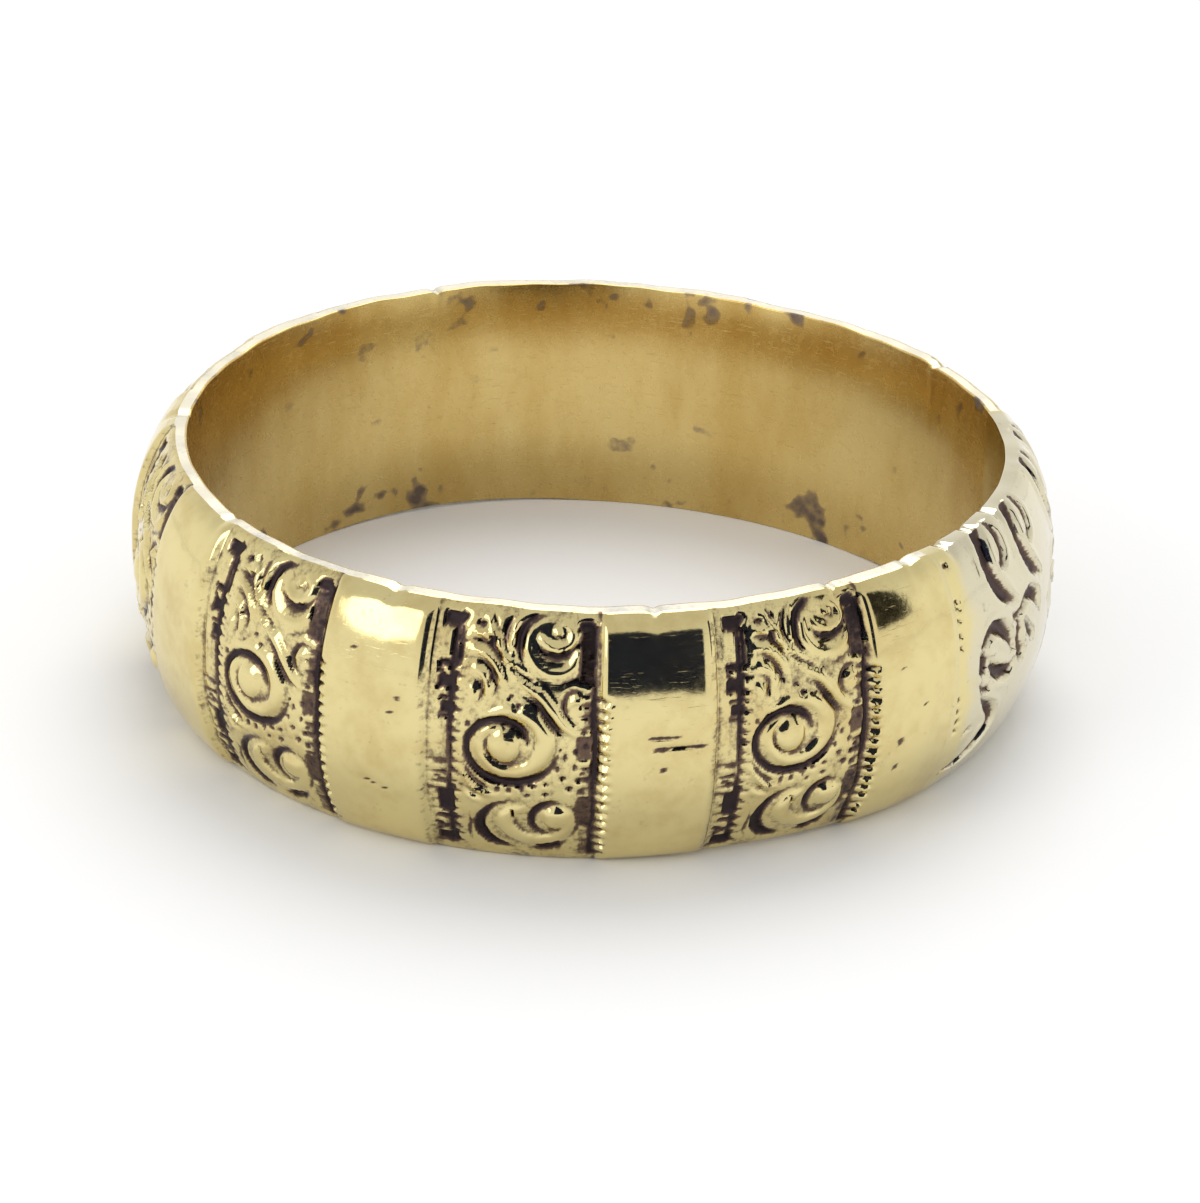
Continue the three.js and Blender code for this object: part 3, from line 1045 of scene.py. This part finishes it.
def metal(
    name, clean, warm, black, roughness=(0.09, 0.26), grain=9000.0, cover_of=None, clean_of=None
):
    """Worn metal, clean going warm and then black where it is covered.

    cover_of gives the cover, which is else the tarnish written on the points, and
    clean_of gives the clean colour its tones. grain is how fine the tarnish is.
    """
    material = bpy.data.materials.new(name)
    material.use_nodes = True
    tree = material.node_tree
    shader = tree.nodes["Principled BSDF"]
    shader.inputs["Metallic"].default_value = 1.0
    place = add(tree, "TexCoord").outputs["Object"]
    if cover_of:
        cover = cover_of(tree, place)
    else:
        cover = add(tree, "Attribute", attribute_name="tarnish").outputs["Fac"]
    tarnished = add(
        tree, "Group",
        [("Clean", clean), ("Warm", warm), ("Black", black), ("Grain", grain),
         ("Sunk", cover), ("Place", place)],
        node_tree=TARNISH,
    )
    if clean_of:
        tree.links.new(clean_of(tree, place), tarnished.inputs["Clean"])
    tree.links.new(tarnished.outputs["Colour"], shader.inputs["Base Color"])
    worn = add(tree, "Group", [("Grain", WEAR_GRAIN), ("Place", place)], node_tree=WEAR)
    scuffed = remap(tree, worn.outputs["Scuff"], 0.2, 0.8, *roughness)
    dulled = maths(tree, "MULTIPLY", tarnished.outputs["Cover"], TARNISHED_ROUGHNESS)
    tree.links.new(maths(tree, "ADD", scuffed, dulled), shader.inputs["Roughness"])
    bump = add(
        tree, "Bump",
        [("Strength", 1.0), ("Distance", WEAR_DEPTH * MM), ("Height", worn.outputs["Height"])],
    )
    tree.links.new(bump.outputs["Normal"], shader.inputs["Normal"])
    return material


def dress(piece, material):
    piece.data.materials.clear()
    piece.data.materials.append(material)


GOLD = (0.765, 0.652, 0.318, 1)
DEEP_GOLD = (0.60, 0.46, 0.19, 1)
OCHRE = (0.70, 0.535, 0.22, 1)
DEEP_OCHRE = (0.60, 0.42, 0.14, 1)
BROWN = (0.145, 0.095, 0.065, 1)
BLACK = (0.045, 0.032, 0.034, 1)
DUSK = (0.10, 0.07, 0.065, 1)
PALE = (0.74, 0.69, 0.55, 1)
PALE_GOLD = (0.70, 0.64, 0.46, 1)
SOLDER_GOLD = (0.74, 0.64, 0.34, 1)
GREY = (0.55, 0.53, 0.47, 1)
# Darker tones for blots on the bore: they gather towards its rims, most towards the lower rim
BORE_BLOT_TONE = (0.36, 0.27, 0.15, 1)
BORE_BLOT_DEEP = (0.20, 0.155, 0.13, 1)


def insert_tone(tree, place):
    """The insert's own pale metal, with gold dragged over it beside the joint."""
    dragged = add(tree, "Attribute", attribute_name="dragged").outputs["Fac"]
    patchy = maths(tree, "MULTIPLY", noise(tree, place, 900.0, 3.0), 1.3)
    reach = maths(tree, "SUBTRACT", maths(tree, "ADD", dragged, patchy), 0.65)
    return blend_colours(tree, remap(tree, reach, 0.1, 0.8), PALE_GOLD, GOLD)


def gold_tone(tree, place):
    """The skin's gold is a little deeper in soft patches, where it is rubbed less."""
    slow = noise(tree, place, 520.0, 3.0, 0.6)
    quick = noise(tree, place, 2600.0, 3.0, 0.6)
    share = weighed(tree, (slow, 0.7), (quick, 0.3))
    return blend_colours(tree, remap(tree, share, 0.42, 0.66, 0.0, 0.6), GOLD, DEEP_GOLD)


def bore_tone(tree, place):
    """The lining is worn unevenly, in soft patches that run across the band."""
    drawn = add(tree, "VectorMath", [(0, place), (1, (1, 1, 0.35))], operation="MULTIPLY")
    share = remap(tree, noise(tree, drawn.outputs[0], 420.0, 4.0, 0.6), 0.38, 0.68)
    return blend_colours(tree, share, OCHRE, DEEP_OCHRE)


def rim_cover(tree, place):
    """The bared metal of the rims is dull in a few wide patches."""
    return maths(tree, "ADD", noise(tree, place, 260.0, 3.0), -0.35)


def bore_rim_blots(tree, place):
    """Grey blots where the bore meets the skin: mostly near the rims, the lower most."""
    # This only darkens the bore's colour: more towards both rims, most towards the lower rim
    height = add(tree, "SeparateXYZ", [(0, place)]).outputs["Z"]
    middle = BAND_WIDTH / 2 * MM
    from_middle = maths(tree, "ABSOLUTE", maths(tree, "SUBTRACT", height, 1.09 * middle))
    near_rim = remap(tree, from_middle, 0.45 * middle, 0.95 * middle, -0.6, 0.05)
    blots = remap(tree, noise(tree, place, 1000.0, 2.0, 0.6), 0.56, 0.7)
    return maths(tree, "ADD", maths(tree, "MULTIPLY", blots, 0.85), near_rim)


dress(skin, metal("worn_gold", GOLD, BROWN, BLACK, clean_of=gold_tone))
dress(insert, metal("pale_insert_gold", PALE_GOLD, BROWN, DUSK, clean_of=insert_tone))
dress(core, metal(
    "bared_rim_metal", PALE, GREY, BROWN, roughness=(0.4, 0.62), cover_of=rim_cover,
))
dress(lining, metal(
    "bore_gold", OCHRE, BORE_BLOT_TONE, BORE_BLOT_DEEP, roughness=(0.25, 0.42), grain=5000.0,
    cover_of=bore_rim_blots, clean_of=bore_tone,
))
solder = metal("joint_solder", SOLDER_GOLD, BROWN, BLACK, roughness=(0.12, 0.3))
for joint in joints:
    dress(joint, solder)


# ---------------------------------------------------------- floor and light

FLOOR_SIZE = 1.6
LIGHT_REACH = 0.35

bpy.ops.object.select_all(action="DESELECT")
bpy.ops.mesh.primitive_plane_add(size=FLOOR_SIZE, location=(0, 0, 0))
floor = bpy.context.object
floor.name = "floor"
paper = bpy.data.materials.new("white_paper")
paper.use_nodes = True
paper_shader = paper.node_tree.nodes["Principled BSDF"]
paper_shader.inputs["Roughness"].default_value = 0.9
paper_shader.inputs["Specular IOR Level"].default_value = 0.2
faint = noise(paper.node_tree, add(paper.node_tree, "TexCoord").outputs["Object"], 30.0, 2.0)
tone = blend_colours(paper.node_tree, faint, (0.9, 0.9, 0.905, 1), (0.94, 0.94, 0.94, 1))
paper.node_tree.links.new(tone, paper_shader.inputs["Base Color"])
dress(floor, paper)

world = bpy.data.worlds.new("studio")
bpy.context.scene.world = world
world.use_nodes = True
sky = world.node_tree
background = sky.nodes["Background"]
direction = add(sky, "TexCoord").outputs["Generated"]
upward = add(sky, "SeparateXYZ", [(0, direction)]).outputs["Z"]
level = remap(sky, upward, 0.0, 0.9, 1.03, 0.74)
background.inputs["Color"].default_value = (1.0, 1.0, 1.0, 1)
sky.links.new(level, background.inputs["Strength"])


def around_ring(azimuth, elevation, reach):
    """A point seen from the ring at an azimuth from the front, in degrees."""
    a, e = math.radians(azimuth), math.radians(elevation)
    return Vector((math.sin(a) * math.cos(e), -math.cos(a) * math.cos(e), math.sin(e))) * reach


def soft_light(name, azimuth, elevation, size, watts):
    data = bpy.data.lights.new(name, "AREA")
    data.shape = "ELLIPSE"
    data.size, data.size_y = size
    data.energy = watts
    light = bpy.data.objects.new(name, data)
    bpy.context.collection.objects.link(light)
    light.location = around_ring(azimuth, elevation, LIGHT_REACH)
    light.rotation_euler = light.location.to_track_quat("Z", "Y").to_euler()
    return light


def dark_card(name, azimuth, elevation, width, height, reach, shade):
    """Something dark in the room that only shows as a reflection in the metal."""
    bpy.ops.mesh.primitive_plane_add(size=1, location=around_ring(azimuth, elevation, reach))
    card = bpy.context.object
    card.name = name
    card.rotation_euler = card.location.to_track_quat("Z", "Y").to_euler()
    card.scale = (
        2 * reach * math.tan(math.radians(width / 2)),
        2 * reach * math.tan(math.radians(height / 2)),
        1,
    )
    bpy.ops.object.transform_apply(location=False, rotation=True, scale=True)
    card.visible_camera = False
    card.visible_diffuse = False
    card.visible_shadow = False
    card.visible_transmission = False
    cloth = bpy.data.materials.new(name)
    cloth.use_nodes = True
    cloth_shader = cloth.node_tree.nodes["Principled BSDF"]
    cloth_shader.inputs["Base Color"].default_value = shade
    cloth_shader.inputs["Specular IOR Level"].default_value = 0.0
    dress(card, cloth)


soft_light("window", -50, 30, (0.17, 0.2), 0.16)
soft_light("overhead", 170, 58, (0.26, 0.26), 0.48)
dark_card("dark_sleeve", 10, 21, 44, 44, 0.16, (0.012, 0.016, 0.04, 1))
dark_card("dark_edge", 75, 26, 12, 34, 0.2, (0.02, 0.02, 0.02, 1))

ELEVATION = math.radians(24.674)
CAMERA_REACH = 93.2
CAMERA_LENS = 122.66
# The camera's small turns away from the middle of the ring, in degrees
CAMERA_TURNS = (("Y", -0.175), ("X", -0.762), ("Z", 1.844))
target = Vector((CENTRING[0], CENTRING[1], BAND_WIDTH / 2)) * MM
camera_data = bpy.data.cameras.new("camera")
camera_data.lens = CAMERA_LENS
camera_data.clip_start = 0.001
camera = bpy.data.objects.new("camera", camera_data)
bpy.context.collection.objects.link(camera)
away = Vector((0, -math.cos(ELEVATION), math.sin(ELEVATION)))
turn = Matrix.Identity(3)
for axis, degrees in CAMERA_TURNS:
    turn = turn @ Matrix.Rotation(math.radians(degrees), 3, axis)
facing = away.to_track_quat("Z", "Y").to_matrix() @ turn
stand = Matrix.Translation(target + away * CAMERA_REACH * MM)
camera.matrix_world = stand @ facing.to_4x4()
bpy.context.scene.camera = camera
bpy.context.scene.view_settings.view_transform = "Standard"
